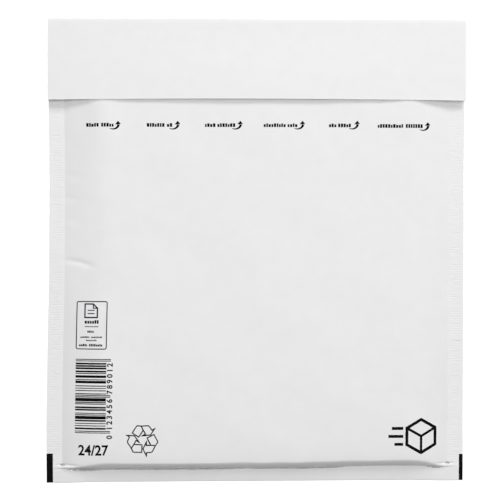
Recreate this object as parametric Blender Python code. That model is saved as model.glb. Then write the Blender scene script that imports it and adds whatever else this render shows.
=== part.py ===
"""A padded mailing envelope, empty, lying on its back with its flap folded over its front.

Four pieces: the outer paper, which is one sheet folded at the foot and at the flap; the padded lining, a pouch
of bubble film welded shut at its sides and foot; the strip of adhesive on the flap's inner face; and the
release paper that covers it. +Z is up, +X runs across the envelope and +Y from its foot to the flap's fold.
The origin is on the floor under the middle. Units are metres.
"""

import math

import bmesh
import bpy

# Outline
WIDTH = 0.240
LENGTH = 0.2665  # from the foot to the flap's fold
FLAP_DEPTH = 0.0465  # how far the flap reaches down the front
SIDE_SEAL = 0.009
FOOT_SEAL = 0.0078
WAIST = 0.001  # how far the padding draws each side in
LIP_SETBACK = 0.007  # from the flap's fold to the edge of the mouth

# Thicknesses
PAPER = 0.00015
PAD = 0.0033  # one layer of bubble film
SLIT = 0.0003  # the empty pocket, pressed flat
WELD = 0.00035  # both layers of film, melted flat in a seal
ADHESIVE = 0.00015
RELEASE_PAPER = 0.0001
GAP = 0.0003  # between pieces that touch

# The pillow's shape
SIDE_SHOULDER = 0.022  # how far in from a side seal the front keeps rising
FOOT_SHOULDER = 0.008
SIDE_LIFT = 0.0022  # how far the side seals stand off the floor
FOOT_LIFT = 0.0012
SIDE_SWEEP = 0.024  # how far in from a side seal the back starts to rise
FOOT_SWEEP = 0.014
TOP_SWEEP = 0.040  # how far down from the fold the side seals stay on the floor

# The flap and what is on it
FOLD_DEPTH = 0.0025
FOLD_POWER = 0.4  # squares the fold's section: 1 would leave it an ellipse
FLAP_BOW = 0.0012  # how far the middle of the flap's edge stands proud of its ends
DIP = 0.0008  # how far the flap presses the front down
DIP_LENGTH = 0.007
ADHESIVE_FROM_EDGE, ADHESIVE_WIDTH = 0.0085, 0.020
RELEASE_FROM_EDGE, RELEASE_WIDTH = 0.0055, 0.026

# Levels and lines that follow from those
HALF = WIDTH / 2
SEAM = WELD + 2 * GAP + PAPER  # between the middles of the two papers in a seal
POCKET_HALF = HALF - SIDE_SEAL
FOOT = -LENGTH / 2
POCKET_FOOT = FOOT + FOOT_SEAL
FRONT = PAPER + GAP + PAD + SLIT + PAD + GAP + PAPER / 2  # the middle of the front paper
LIP = LENGTH / 2 - LIP_SETBACK
FOLD = LENGTH / 2 - PAPER / 2 - FOLD_DEPTH  # where the back starts to turn over
FLAP_EDGE = LENGTH / 2 - FLAP_DEPTH
FLAP_STACK = PAPER / 2 + GAP + ADHESIVE + GAP + RELEASE_PAPER + GAP + PAPER / 2
FLAP = FRONT - DIP + FLAP_STACK  # the middle of the flap's paper

SIDE_STEPS, FOOT_STEPS, FOLD_STEPS, BOW_STEPS = 5, 6, 10, 8


def smooth(t):
    """From 0 to 1 as t goes from 0 to 1, level at both ends."""
    t = min(max(t, 0.0), 1.0)
    return t * t * (3 - 2 * t)


def side_rise(x):
    """The share of its full height that the front has at x: a quarter of a sine wave inside each side seal."""
    return math.sin(math.pi / 2 * min(max((POCKET_HALF - abs(x)) / SIDE_SHOULDER, 0.0), 1.0))


def foot_rise(y):
    """The share of its full height that the front has at y: a quarter of an ellipse above the foot seal."""
    t = min(max((y - POCKET_FOOT) / FOOT_SHOULDER, 0.0), 1.0)
    return math.sqrt(1 - (1 - t) ** 2)


def drawn_in(y):
    """The share of its flat width that the envelope keeps at y."""
    padded = smooth((y - POCKET_FOOT) / SIDE_SHOULDER) * smooth((LENGTH / 2 - y) / SIDE_SHOULDER)
    return 1 - WAIST / HALF * padded


def back_height(x, y):
    """The middle of the back paper: flat on the floor, and rising to the side seals and the foot seal."""
    side = smooth((abs(x) - POCKET_HALF + SIDE_SWEEP) / SIDE_SWEEP) * smooth((FOLD - y) / TOP_SWEEP)
    foot = smooth((POCKET_FOOT + FOOT_SWEEP - y) / FOOT_SWEEP)
    return PAPER / 2 + SIDE_LIFT * side + FOOT_LIFT * foot * (1 - side)


def front_height(x, y, inset=0.0):
    """The middle of the front paper, or a surface that far inside it."""
    seam = back_height(x, y) + SEAM
    pressed = DIP * smooth((y - FLAP_EDGE + DIP_LENGTH / 2) / DIP_LENGTH)
    rise = side_rise(x) * foot_rise(y - inset)
    return seam + (FRONT - pressed - seam) * rise - inset


def flap_height(x, y):
    """The middle of the flap's paper, bowed most at its free edge."""
    reach = smooth((FOLD - y) / (FOLD - FLAP_EDGE))
    return FLAP + FLAP_BOW * reach * (1 - (x / HALF) ** 2)


def steps(start, end, count):
    """count + 1 values from start to end."""
    return [start + (end - start) * i / count for i in range(count + 1)]


def fold_section(turn):
    """How far out and how far up the flap's fold is, from 0 to 1 and from -1 to 1: a squared half circle."""
    rise = -math.cos(turn)
    return math.sin(turn) ** FOLD_POWER, math.copysign(abs(rise) ** FOLD_POWER, rise)


def columns():
    """The x of each column of points: one side seal, its shoulder, and the middle, mirrored."""
    side = [HALF, POCKET_HALF]
    side += steps(POCKET_HALF, POCKET_HALF - SIDE_SWEEP, SIDE_STEPS)[1:]
    middle = steps(-side[-1], side[-1], BOW_STEPS)[1:-1]
    return [-x for x in side] + middle + side[::-1]


def front_rows(inset=0.0):
    """The y of each row of the front, from the lip down to the top of the foot seal."""
    turn = steps(math.pi / 2, 0, FOOT_STEPS)
    shoulder = [POCKET_FOOT + inset + FOOT_SHOULDER * (1 - math.cos(a)) for a in turn]
    under_flap = steps(LIP, FLAP_EDGE + DIP_LENGTH / 2, 4)
    return under_flap + [FLAP_EDGE, FLAP_EDGE - DIP_LENGTH / 2, 0.0, FOOT / 2] + shoulder


def back_rows():
    """The y of each row of the back, from the top of the foot seal up to the flap's fold."""
    sweep = steps(POCKET_FOOT, POCKET_FOOT + FOOT_SWEEP, 3)
    return sweep + [FOOT / 2, 0.0] + steps(FOLD - TOP_SWEEP, FOLD, 4)


def sheet_rows():
    """The outer paper's middle surface: front, foot fold, back, flap fold and flap, as rows of points."""
    xs = columns()
    radius = SEAM / 2
    foot_turn = FOOT + PAPER / 2 + radius
    middle, half = (FLAP + PAPER / 2) / 2, (FLAP - PAPER / 2) / 2
    rows = [[(x * drawn_in(y), y, front_height(x, y)) for x in xs] for y in front_rows()]
    for turn in steps(0, math.pi, 4):
        y, z = foot_turn - radius * math.sin(turn), radius * (1 + math.cos(turn))
        rows.append([(x, y, back_height(x, foot_turn) + z) for x in xs])
    rows += [[(x * drawn_in(y), y, back_height(x, y)) for x in xs] for y in back_rows()]
    for turn in steps(0, math.pi, FOLD_STEPS)[1:-1]:
        out, up = fold_section(turn)
        rows.append([(x, FOLD + FOLD_DEPTH * out, middle + half * up) for x in xs])
    rows += [[(x, y, flap_height(x, y)) for x in xs] for y in steps(FOLD, FLAP_EDGE, 5)]
    return rows


def clear_scene():
    """Removes everything that was in the scene."""
    for thing in list(bpy.data.objects):
        bpy.data.objects.remove(thing)


def finish_of(name, colour, roughness):
    """A Principled material of that colour."""
    material = bpy.data.materials.new(name)
    material.use_nodes = True
    shader = material.node_tree.nodes["Principled BSDF"]
    shader.inputs["Base Color"].default_value = (*colour, 1)
    shader.inputs["Roughness"].default_value = roughness
    shader.inputs["Metallic"].default_value = 0.0
    return material


def grid_faces(mesh, rows):
    """The vertices of a grid of points and the four-sided faces between them."""
    grid = [[mesh.verts.new(point) for point in row] for row in rows]
    for row, after in zip(grid, grid[1:]):
        for i in range(len(row) - 1):
            mesh.faces.new((row[i], row[i + 1], after[i + 1], after[i]))
    return grid


def object_of(mesh, name, material):
    """The bmesh as an object in the scene, shaded smooth but for its sharp edges."""
    bmesh.ops.recalc_face_normals(mesh, faces=mesh.faces)
    data = bpy.data.meshes.new(name)
    mesh.to_mesh(data)
    mesh.free()
    data.shade_smooth()
    data.set_sharp_from_angle(angle=math.radians(35))
    data.materials.append(material)
    made = bpy.data.objects.new(name, data)
    bpy.context.scene.collection.objects.link(made)
    return made


def sheet(name, rows, thickness, material):
    """A sheet of that thickness about the surface that the rows describe."""
    mesh = bmesh.new()
    grid_faces(mesh, rows)
    made = object_of(mesh, name, material)
    solid = made.modifiers.new("Thickness", "SOLIDIFY")
    solid.thickness = thickness
    solid.offset = 0.0
    solid.use_even_offset = True
    return made


def slab(name, upper, lower, material):
    """A closed solid between two grids that have the same rows and columns."""
    mesh = bmesh.new()
    above, below = grid_faces(mesh, upper), grid_faces(mesh, lower)
    rims = [[grid[0], grid[-1], [row[0] for row in grid], [row[-1] for row in grid]] for grid in (above, below)]
    for top, bottom in zip(*rims):
        for i in range(len(top) - 1):
            mesh.faces.new((top[i], top[i + 1], bottom[i + 1], bottom[i]))
    return object_of(mesh, name, material)


def cut(body, cutter):
    """Takes the cutter's shape out of the body."""
    cutter.hide_render = True
    cutter.display_type = "WIRE"
    taken = body.modifiers.new("Pocket", "BOOLEAN")
    taken.operation = "DIFFERENCE"
    taken.object = cutter


def pad_surfaces(xs, ys, inset):
    """The lining's two faces over those columns and rows, that far inside the middles of the two papers."""
    upper = [[(x * drawn_in(y), y, front_height(x, y, inset)) for x in xs] for y in ys]
    lower = [[(x * drawn_in(y), y, back_height(x, y) + inset) for x in xs] for y in ys]
    return upper, lower


def between(upper, lower, share, shift):
    """The rows that lie that share of the way from lower to upper, moved up by shift."""
    return [
        [(a[0], a[1], b[2] + (a[2] - b[2]) * share + shift) for a, b in zip(high, low)]
        for high, low in zip(upper, lower)
    ]


def outer_paper(material):
    """One sheet: front, back and flap, folded at the foot and round the mouth."""
    return sheet("outer_paper", sheet_rows(), PAPER, material)


def bubble_lining(material):
    """The pouch of bubble film, with its pocket open at the mouth and welded at the sides and the foot."""
    inset = PAPER / 2 + GAP
    foot_end = FOOT + PAPER + SEAM
    ys = front_rows(inset) + [foot_end]
    lining = slab("bubble_lining", *pad_surfaces(columns(), ys, inset), material)
    xs = [x for x in columns() if abs(x) < POCKET_HALF]
    upper, lower = pad_surfaces(xs, [y for y in front_rows(inset) if y > POCKET_FOOT + 2 * inset], inset)
    beyond = [[(x, y + LIP_SETBACK, z) for x, y, z in grid[0]] for grid in (upper, lower)]
    upper, lower = [beyond[0]] + upper, [beyond[1]] + lower
    pocket = slab(
        "pocket_cutter",
        between(upper, lower, 0.5, SLIT / 2),
        between(upper, lower, 0.5, -SLIT / 2),
        material,
    )
    cut(lining, pocket)
    return lining


def flap_strip(name, from_edge, width, below, thickness, material):
    """A strip on the flap's inner face, following its bow, its middle that far below the paper's middle."""
    ys = steps(FLAP_EDGE + from_edge, FLAP_EDGE + from_edge + width, 3)
    rows = [[(x, y, flap_height(x, y) - below) for x in columns()] for y in ys]
    return sheet(name, rows, thickness, material)


def main():
    """Makes the four pieces, each where it lies in the closed envelope."""
    clear_scene()
    adhesive_below = PAPER / 2 + GAP + ADHESIVE / 2
    release_below = adhesive_below + ADHESIVE / 2 + GAP + RELEASE_PAPER / 2
    outer_paper(finish_of("white_paper", (0.83, 0.83, 0.84), 0.62))
    bubble_lining(finish_of("clear_film", (0.86, 0.88, 0.90), 0.22))
    flap_strip(
        "adhesive_strip", ADHESIVE_FROM_EDGE, ADHESIVE_WIDTH, adhesive_below, ADHESIVE,
        finish_of("hot_melt", (0.80, 0.72, 0.52), 0.30),
    )
    flap_strip(
        "release_paper", RELEASE_FROM_EDGE, RELEASE_WIDTH, release_below, RELEASE_PAPER,
        finish_of("coated_paper", (0.90, 0.89, 0.86), 0.25),
    )


main()
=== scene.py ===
"""The looks of a padded mailing envelope, round its packed frame.

The envelope lies on its back, its flap folded over its front. +Y runs from the foot to the flap's fold,
+X across the front and +Z out of it. Every surface is worked out from the flat sheet: a point of the sheet
is given by its distance x from the middle line and its distance y along it, and a height tells how far the
padding lifts it. Lengths are in metres.
"""

import math

import bpy
import numpy as np
from bpy.props import FloatProperty, FloatVectorProperty, PointerProperty
from mathutils import Euler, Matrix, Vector


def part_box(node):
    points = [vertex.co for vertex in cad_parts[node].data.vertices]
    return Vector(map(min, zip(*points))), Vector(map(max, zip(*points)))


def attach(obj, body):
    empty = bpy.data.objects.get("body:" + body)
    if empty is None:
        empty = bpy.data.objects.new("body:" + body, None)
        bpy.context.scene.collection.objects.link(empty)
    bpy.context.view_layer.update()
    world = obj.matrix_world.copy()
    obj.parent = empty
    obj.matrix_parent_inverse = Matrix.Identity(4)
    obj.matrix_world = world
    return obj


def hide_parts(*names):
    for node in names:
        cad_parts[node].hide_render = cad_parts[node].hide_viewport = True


bl_info = {
    "name": "Padded Envelope",
    "version": (1, 0, 0),
    "blender": (4, 5, 0),
    "location": "3D View > Sidebar > Envelope",
    "description": "Makes a padded mailing envelope from paper, bubble film, adhesive and ink",
    "category": "Object",
}

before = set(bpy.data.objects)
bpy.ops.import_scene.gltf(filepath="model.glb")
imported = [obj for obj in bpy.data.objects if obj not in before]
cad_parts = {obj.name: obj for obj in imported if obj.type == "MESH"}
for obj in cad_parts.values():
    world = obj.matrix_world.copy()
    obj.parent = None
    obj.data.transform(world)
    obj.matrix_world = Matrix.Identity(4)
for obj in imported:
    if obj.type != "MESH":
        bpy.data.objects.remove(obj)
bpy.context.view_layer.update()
PAPER_LOW, PAPER_HIGH = (Vector(corner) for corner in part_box("outer_paper"))
ADHESIVE_LOW, ADHESIVE_HIGH = (Vector(corner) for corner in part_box("adhesive_strip"))
RELEASE_LOW, RELEASE_HIGH = (Vector(corner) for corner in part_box("release_paper"))
LINING_HIGH = Vector(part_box("bubble_lining")[1])

MM = 0.001
BODY = "root"


def mm(*lengths):
    """Lengths in millimetres, as metres."""
    return tuple(length * MM for length in lengths)


# What a user would change


def metres(name, description, default):
    """A length."""
    return FloatProperty(name=name, description=description, default=default, unit="LENGTH", precision=5)


def share(name, description, default):
    """A number from 0 to 1."""
    return FloatProperty(
        name=name, description=description, default=default, min=0, max=1, subtype="FACTOR"
    )


def turn(name, description, default):
    """An angle, in degrees here and in radians in the file."""
    return FloatProperty(
        name=name, description=description, default=math.radians(default), subtype="ANGLE", unit="ROTATION"
    )


def colour(name, description, default):
    """A linear colour."""
    return FloatVectorProperty(
        name=name, description=description, default=default, size=3, min=0, max=1, subtype="COLOR"
    )


class EnvelopeSizes(bpy.types.PropertyGroup):
    """The folded sheet and its padding."""

    width: metres("Width", "Across the flap", PAPER_HIGH.x - PAPER_LOW.x)
    length: metres("Length", "From the foot to the flap's fold", PAPER_HIGH.y - PAPER_LOW.y)
    lip: metres("Mouth", "Where the edge of the mouth lies, from the middle", LINING_HIGH.y)
    flap_depth: metres("Flap depth", "How far the flap reaches down the front", 46.5 * MM)
    side_seal: metres("Side seal", "Width of the weld down each side", 9 * MM)
    foot_seal: metres("Foot seal", "Width of the weld above the foot", 8.1 * MM)
    paper: metres("Paper", "Thickness of the paper", 0.15 * MM)
    pad: metres("Padding", "Thickness of one layer of bubble film", 3.3 * MM)
    clearance: metres("Clearance", "Left between pieces that touch", 0.3 * MM)
    side_shoulder: metres("Side shoulder", "How far in from a side seal the front keeps rising", 26 * MM)
    foot_shoulder: metres("Foot shoulder", "How far above the foot seal the front is steep", 3.5 * MM)
    side_lift: metres("Side lift", "How far the side seals stand off the floor", 2.2 * MM)
    foot_lift: metres("Foot lift", "How far the foot seal's upper end stands off the floor", 1.3 * MM)
    waist: metres("Waist", "How far the padding draws each side in", 0.7 * MM)
    lean: metres("Lean", "How far the foot has slid sideways from under the flap", 1.1 * MM)
    skew: metres("Skew", "How far the foot's right end is drawn up", 0.45 * MM)
    bow: metres("Flap bow", "How far the middle of the flap's edge stands proud of its ends", 1.6 * MM)
    ridge: metres("Ridge", "How far the front stands up beside each shoulder, by the flap", 0.8 * MM)
    swell: metres("Swell", "How uneven the padding leaves the front", 0.16 * MM)


class SealSizes(bpy.types.PropertyGroup):
    """The grooves that the welding jaws leave in the seals."""

    pitch: metres("Pitch", "From one groove to the next", 1.43 * MM)
    depth: metres("Depth", "Of the deepest groove", 0.11 * MM)
    from_edge: metres("From the edge", "Where a groove starts", 1.6 * MM)
    reach: metres("Reach", "How long a groove is", 4.8 * MM)
    stray: metres("Stray", "How far its ends wander", 0.9 * MM)
    run_out: metres("Run-out", "How long it takes an end to fade", 0.8 * MM)
    faintest: share("Faintest", "The faintest groove's share of the deepest one's depth", 0.35)
    missing: share("Missing", "The share of grooves that the jaws missed", 0.06)


class BubbleSizes(bpy.types.PropertyGroup):
    """The bubbles of the lining."""

    radius: metres("Radius", "Of one bubble", 5 * MM)
    pitch: metres("Pitch", "Between the middles of two bubbles", 11 * MM)
    height: metres("Height", "Of a bubble that nothing presses", 3 * MM)
    film: metres("Film", "Thickness of the flat film", 0.08 * MM)


class Finishes(bpy.types.PropertyGroup):
    """Colours of the pieces."""

    paper: colour("Paper", "Bleached paper", (0.852, 0.842, 0.85))
    paper_shade: colour("Paper, thin places", "Where the fibres lie thinner", (0.83, 0.82, 0.83))
    film: colour("Film", "Bubble film", (0.90, 0.92, 0.94))
    adhesive: colour("Adhesive", "Hot-melt adhesive", (0.80, 0.70, 0.46))
    release: colour("Release paper", "Coated paper over the adhesive", (0.86, 0.85, 0.80))
    ink: colour("Ink", "Black printing ink", (0.002, 0.002, 0.002))
    ink_thin: colour("Ink, thin places", "Where the ink starves", (0.006, 0.006, 0.006))


class Studio(bpy.types.PropertyGroup):
    """The camera, the lights and the floor."""

    camera_height: metres("Camera height", "Above the floor", 750 * MM)
    aim_x: metres("Aim across", "Where the camera points, across the envelope", -4.3 * MM)
    aim_y: metres("Aim along", "Where the camera points, along the envelope", 0.7 * MM)
    pitch: turn("Pitch", "How far the camera nods", -0.08)
    yaw: turn("Yaw", "How far the camera leans to a side", -1.47)
    lens: FloatProperty(name="Lens", description="Focal length, in millimetres", default=93.9)
    key: FloatProperty(name="Key", description="Power of the window-like light", default=14.6, unit="POWER")
    fill: FloatProperty(name="Fill", description="Power of the light overhead", default=16.9, unit="POWER")
    room: share("Room", "Brightness of the room all round", 0.144)
    floor: colour("Floor", "The floor's colour", (0.35, 0.35, 0.35))
    floor_glow: share("Floor glow", "How much the floor glows for the camera", 1.0)


def sizes():
    """The sizes in the sidebar."""
    return bpy.context.scene.envelope_sizes


# The envelope's surfaces


def smooth(t):
    """From 0 to 1 as t goes from 0 to 1, level at both ends: 3tt - 2ttt."""
    t = np.clip(t, 0, 1)
    return t * t * (3 - 2 * t)


def waves(x, y, length, seed, count=7):
    """Gentle unevenness, mostly within -1 and 1: a sum of plane waves of about that length, each with its
    own direction, phase and stretch drawn from the seed."""
    draw = np.random.default_rng(seed)
    total = 0.0
    for _ in range(count):
        heading, phase = draw.uniform(0, 2 * math.pi, 2)
        per_wave = 2 * math.pi / (length * draw.uniform(0.7, 1.5))
        total = total + np.sin((x * math.cos(heading) + y * math.sin(heading)) * per_wave + phase)
    return total / math.sqrt(count)


def bell(distance, width):
    """1 at no distance and nearly 0 past twice the width: exp(-dd/ww)."""
    return np.exp(-((distance / width) ** 2))


def crease(x, y, start, end, sag, width):
    """From 0 to 1, how deep in a crease a point lies. The crease runs from start to end, bowed by sag, as
    wide as a bell of that width across and fading out at both ends."""
    (ax, ay), (bx, by) = start, end
    reach = math.hypot(bx - ax, by - ay)
    along = ((x - ax) * (bx - ax) + (y - ay) * (by - ay)) / reach**2
    across = ((y - ay) * (bx - ax) - (x - ax) * (by - ay)) / reach
    inside = np.clip(along, 0, 1)
    fade_in, fade_out = 0.25, 0.3
    ends = smooth(along / fade_in) * smooth((1 - along) / fade_out)
    return bell(across - 4 * sag * inside * (1 - inside), width) * ends


class Envelope:
    """The envelope's surfaces as functions of a point x, y of the flat sheet, as points in the frame."""

    # Where the foot's shoulder bulges: place across, width and strength of each bulge
    BULGES = (
        (*mm(-91, 15), 1.0),
        (*mm(-8, 8), 0.9),
        (*mm(14, 7), 0.6),
        (*mm(34, 8), 0.8),
        (*mm(53, 10), 1.1),
        (*mm(84, 16), 1.0),
    )
    # Creases of the front: start, end, sag, width and depth of each
    CREASES = (
        (mm(-111.5, -5.6), mm(-92.5, -10.5), *mm(1.6, 1.5, 0.62)),
        (mm(-112.0, 44.0), mm(-99.0, 41.0), *mm(0.6, 2.2, 0.20)),
        (mm(-112.0, 31.0), mm(-101.0, 30.0), *mm(-0.5, 1.8, 0.22)),
        (mm(-111.0, 18.0), mm(-97.0, 15.0), *mm(0.5, 2.4, 0.16)),
    )
    # The pinched corners of the foot: place across, width and height of each
    PINCHES = (mm(-108.6, 4.2, 1.1), mm(110, 3.6, 1.0))
    PINCH_LENGTH = 1.7 * MM
    PINCH_STEP = 0.5 * MM  # how far above the seam a pinch is at its highest
    VALLEY, VALLEY_AT, VALLEY_WIDTH = 0.8, 1.2, 0.36  # a pinch's valley, as shares of its height and length
    EASE = 0.22  # how much less the foot seal's upper end stands up on the right
    # Where the foot's seam runs higher or lower: place across, width and height of each swing
    SEAM_SWINGS = (mm(80, 38, 0.75), mm(106, 9, -0.2), mm(-109, 8, 0.4))
    LEFT_CORNER, RIGHT_CORNER = mm(28, 18)  # how far in the foot's shoulder is still tightened
    # The shoulder's reach: at a corner, gained further in, and gained at a bulge
    TIGHTEST, LOOSER, BULGING = 0.12, 0.82, 0.14
    # The shoulder's two curves: the share of each, and how much slower the second fades
    FAST_SHARE, SLOW_SHARE, SLOWER = 0.62, 0.38, 3.2
    WALL, WALL_SHARE = 4.0 * MM, 0.64  # the steep part right above the foot's seam: its reach and its share
    WALL_POWER = 1.6  # 1 would make the wall straight
    RISE = 1.6 * MM  # how much fuller the padding is towards the foot
    RISE_FROM, RISE_LENGTH = mm(30, 130)
    WAIST_AT, WAIST_LENGTH = mm(20, 70)
    WAVER, WAVER_LENGTH = mm(0.15, 60)  # how uneven the sides are cut
    SPREAD = 0.18 * MM  # how far the flat ends of the seals stand out
    SPREAD_LENGTH = 20 * MM
    LEAN_FROM, LEAN_SHARE = 0.42, 0.5  # where down the sheet it starts to lean, and for how much of it
    EDGE_SWEEP = 0.45 * MM  # how far the middle of the flap's edge is drawn up
    EDGE_HALF = 100 * MM
    END_DROOP = 0.3 * MM  # how far the flap's ends hang down, where no padding holds them
    END_LENGTH = 18 * MM
    RIPPLE, RIPPLE_LENGTH = mm(0.10, 60)  # how uneven the flap lies
    CURL, CURL_LENGTH = mm(0.25, 90)  # how uneven the side seals stand off the floor
    EASE_LENGTH = 60 * MM  # how far right of the middle the foot seal is fully eased
    RIDGE_FROM_SEAL = 21 * MM
    RIDGE_WIDTH = 9 * MM
    RIDGE_LENGTH = 55 * MM
    HOLLOW, HOLLOW_LENGTH = mm(0.3, 25)  # how far the middle of the front sinks between the ridges
    SWELLS, LESSER_SWELL = mm(48, 17), 0.35  # the lengths of two swells, and the smaller one's share
    PRESSED = 0.8  # the share of the ridges and swells that the flap presses flat
    DIP = 0.8 * MM  # how far the flap presses the front down
    DIP_LENGTH = 7 * MM
    CUT_CURL = 0.06 * MM  # how far the flap's cut edge curls up, within its last millimetre
    SIDE_SWEEP = 24 * MM  # how far in from a side seal the back starts to rise
    FOOT_SWEEP = 14 * MM
    TOP_SWEEP = 40 * MM  # how far down from the fold the side seals stay on the floor
    FOLD_DEPTH = 2.5 * MM
    SQUARING = 0.4  # the power that squares the flap's fold: 1 would leave it an ellipse
    CRUSH, CRUSH_LENGTH = 0.02, 45 * MM  # how uneven the fold is, as a share of its depth
    SLIT = 0.3 * MM  # the empty pocket, pressed flat
    WELD = 0.35 * MM  # both layers of film, melted flat in a seal
    STRIPS = 1.3 * MM  # the adhesive and its release paper, with the clearances round them

    def __init__(self, s, seal):
        self.s, self.seal_sizes = s, seal
        self.half, self.top, self.foot = s.width / 2, s.length / 2, -s.length / 2
        self.pocket_half = self.half - s.side_seal
        self.pocket_foot = self.foot + s.foot_seal
        self.seam = self.WELD + 2 * s.clearance + s.paper
        self.full = s.paper + 2 * (s.clearance + s.pad) + self.SLIT + s.paper / 2
        self.fold = self.top - s.paper / 2 - self.FOLD_DEPTH
        self.flap_edge = self.top - s.flap_depth
        self.flap_level = self.full - self.DIP + self.STRIPS
        self.foot_seam = self.WELD + s.paper
        self.foot_turn = self.foot + s.paper / 2 + self.foot_seam / 2

    def place(self, x, y, z, body=1.0):
        """Points in the frame: the padding draws the body's sides in, the foot leans over, its right end is
        drawn up, and the edges waver. The flap isn't body: nothing draws its sides in."""
        down = (self.top - y) / self.s.length
        below_fold = smooth((self.fold - y) / self.SPREAD_LENGTH) * body
        drawn = (self.s.waist * bell(y - self.WAIST_AT, self.WAIST_LENGTH) - self.SPREAD) * below_fold
        waver = self.WAVER * waves(0 * x, y, self.WAVER_LENGTH, 5) * below_fold
        sideways = x * (1 - (drawn - waver) / self.half)
        lean = self.s.lean * smooth((down - self.LEAN_FROM) / self.LEAN_SHARE)
        upwards = self.s.skew * (1 + x / self.half) / 2 * down**2
        return np.stack([sideways - lean, y + upwards, z + 0 * x], axis=-1)

    def seam_line(self, x):
        """Where the foot's weld ends and the padding starts."""
        swings = sum(height * bell(x - at, width) for at, width, height in self.SEAM_SWINGS)
        return self.pocket_foot + swings

    def seal_share(self, x, y):
        """From 0 at the foot's seam line to 1 at the foot."""
        line = self.seam_line(x)
        return np.clip((line - y) / (line - self.foot), 0, 1)

    def back_height(self, x, y):
        """The back: flat on the floor, swept up to the side seals and to the foot's seam, below which the
        foot seal droops back to the floor."""
        side = smooth((np.abs(x) - self.pocket_half + self.SIDE_SWEEP) / self.SIDE_SWEEP)
        side = side * smooth((self.fold - y) / self.TOP_SWEEP)
        foot = smooth((self.seam_line(x) + self.FOOT_SWEEP - y) / self.FOOT_SWEEP)
        foot = foot * (1 - self.seal_share(x, y))
        curl = self.CURL * waves(x, y, self.CURL_LENGTH, 11) * side
        curl = curl * smooth((self.fold - y) / self.TOP_SWEEP)
        foot_lift = self.s.foot_lift * (1 - self.EASE * smooth(x / self.EASE_LENGTH))
        return self.s.paper / 2 + self.s.side_lift * side + foot_lift * foot * (1 - side) + curl

    def side_rise(self, x):
        """The share of the full height at x: a parabola inside each side seal, 1 - (1 - t)(1 - t)."""
        t = np.clip((self.pocket_half - np.abs(x)) / self.s.side_shoulder, 0, 1)
        return 1 - (1 - t) ** 2

    def foot_rise(self, x, y):
        """The share of the full height at y, at a distance d above the foot's seam: a nearly straight wall,
        blended with 1 less most of exp(-d/shoulder) and less some of a curve that fades more slowly. Both
        reach further where the padding bulges and less far towards the corners."""
        bulge = sum(strength * bell(x - at, width) for at, width, strength in self.BULGES)
        tightened = np.where(x < 0, self.LEFT_CORNER, self.RIGHT_CORNER)
        corner = smooth((self.pocket_half - np.abs(x)) / tightened)
        reach = self.TIGHTEST + self.LOOSER * corner + self.BULGING * bulge * corner
        shoulder = self.s.foot_shoulder * reach
        above = np.maximum(0, y - self.seam_line(x))
        fast, slow = np.exp(-above / shoulder), np.exp(-above / shoulder / self.SLOWER)
        slope = 1 - self.FAST_SHARE * fast - self.SLOW_SHARE * slow
        wall = 1 - (1 - np.clip(above / self.WALL / reach, 0, 1)) ** self.WALL_POWER
        return slope + self.WALL_SHARE * (wall - slope)

    def pinched(self, x, y):
        """How far the pinched corners stand up: a wedge that rises towards the foot's seam and ends in a
        step there, below a small valley."""
        above = y - self.seam_line(x)
        length = self.PINCH_LENGTH
        wedge = smooth(above / self.PINCH_STEP) * np.clip(1 - above / length, 0, 1)
        valley = self.VALLEY * bell(above - self.VALLEY_AT * length, self.VALLEY_WIDTH * length)
        return sum(height * bell(x - at, width) for at, width, height in self.PINCHES) * (wedge - valley)

    def grooves(self, x, y):
        """The depth of the weld's grooves across the side seals: a triangle wave along y, deepest in the
        middle of each groove, whose strength and two ends are drawn groove by groove and side by side."""
        seal = self.seal_sizes
        draw = np.random.default_rng(23)
        phase = (self.s.lip - y) / seal.pitch
        groove = np.round(phase).astype(int)
        sharp = np.clip(1 - 2 * np.abs(phase - groove), 0, 1)
        count = int(self.s.length / seal.pitch) + 8
        strength = draw.uniform(seal.faintest, 1.0, (2, count)) * (draw.random((2, count)) > seal.missing)
        starts = seal.from_edge + draw.uniform(-0.5, 1, (2, count)) * seal.stray
        ends = starts + seal.reach + draw.uniform(-1, 1.8, (2, count)) * seal.stray
        side = (x > 0).astype(int)
        groove = np.clip(groove, 0, count - 1)
        from_edge = self.half - np.abs(x)
        pressed = smooth((from_edge - starts[side, groove]) / seal.run_out)
        pressed = pressed * smooth((ends[side, groove] - from_edge) / seal.run_out)
        return seal.depth * strength[side, groove] * sharp * pressed

    def front_height(self, x, y):
        """The front: the seams, and the padding that lifts the paper between them."""
        thinned = (self.seam - self.foot_seam) * self.seal_share(x, y)
        seam = self.back_height(x, y) + self.seam - thinned
        under = smooth((y - self.flap_edge) / self.DIP_LENGTH)
        near_flap = smooth((y - self.flap_edge + self.RIDGE_LENGTH) / self.RIDGE_LENGTH)
        from_seal = self.pocket_half - np.abs(x)
        ridge = self.s.ridge * bell(from_seal - self.RIDGE_FROM_SEAL, self.RIDGE_WIDTH) * near_flap
        hollow = self.HOLLOW * smooth((from_seal - self.RIDGE_FROM_SEAL) / self.HOLLOW_LENGTH)
        long, short = self.SWELLS
        swell = self.s.swell * (waves(x, y, long, 3) + self.LESSER_SWELL * waves(x, y, short, 4))
        fuller = self.RISE * smooth((self.RISE_FROM - y) / self.RISE_LENGTH)
        loose = 1 - self.PRESSED * under
        level = self.full - self.DIP * under + (ridge + swell) * loose - hollow + fuller
        height = seam + (level - seam) * self.side_rise(x) * self.foot_rise(x, y)
        for start, end, sag, width, depth in self.CREASES:
            height = height - depth * crease(x, y, start, end, sag, width)
        return height + self.pinched(x, y) - self.grooves(x, y)

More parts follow.
